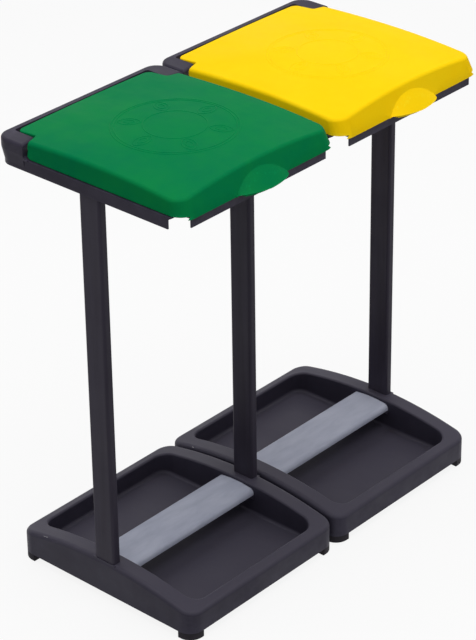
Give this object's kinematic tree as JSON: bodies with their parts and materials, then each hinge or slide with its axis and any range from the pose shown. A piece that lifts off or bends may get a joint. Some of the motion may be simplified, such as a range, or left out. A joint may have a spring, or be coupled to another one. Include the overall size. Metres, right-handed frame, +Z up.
{
  "type": "recycling sack holder",
  "caption": "Free-standing double recycling sack holder: shallow trays, flat posts, open bag frames and separately hinged front-opening lids with finger lips.",
  "frame": {"origin": "on the floor below the middle of the whole stand's box, between the modules", "axes": "+X runs along the row from the left module to the right one, -Y is the front with the finger lips, +Y is the hinge side, +Z is up"},
  "size_m": [0.839, 0.473, 0.922],
  "materials": {
    "charcoal_plastic": "satin moulded",
    "post_plastic": "satin extruded",
    "bar_plastic": "satin moulded",
    "green_lid": "satin moulded",
    "yellow_lid": "satin moulded",
    "foot_rubber": "matt",
    "pin_steel": "bright drawn",
    "screw_steel": "zinc plated",
    "stud_plastic": "moulded"
  },
  "bodies": {
    "stand": {"left_tray": "charcoal_plastic", "right_tray": "charcoal_plastic", "left_tray_feet": "foot_rubber", "right_tray_feet": "foot_rubber", "left_cross_bar": "bar_plastic", "right_cross_bar": "bar_plastic", "left_post": "post_plastic", "middle_post": "post_plastic", "right_post": "post_plastic", "left_bag_frame": "charcoal_plastic", "right_bag_frame": "charcoal_plastic", "left_hinge_pins": "pin_steel", "right_hinge_pins": "pin_steel", "left_tray_screws": "screw_steel", "right_tray_screws": "screw_steel", "left_frame_screws": "screw_steel", "right_frame_screws": "screw_steel", "tray_link_studs": "stud_plastic", "frame_link_studs": "stud_plastic"},
    "lid_left": {"left_lid": "green_lid"},
    "lid_right": {"right_lid": "yellow_lid"}
  },
  "joints": [
    {"name": "left_lid_hinge", "type": "hinge", "parent": "stand", "child": "lid_left", "pos_m": [-0.21, 0.1925, 0.889], "axis": [-1, 0, 0], "range_deg": [0, 105]},
    {"name": "right_lid_hinge", "type": "hinge", "parent": "stand", "child": "lid_right", "pos_m": [0.21, 0.1925, 0.889], "axis": [-1, 0, 0], "range_deg": [0, 105]}
  ]
}
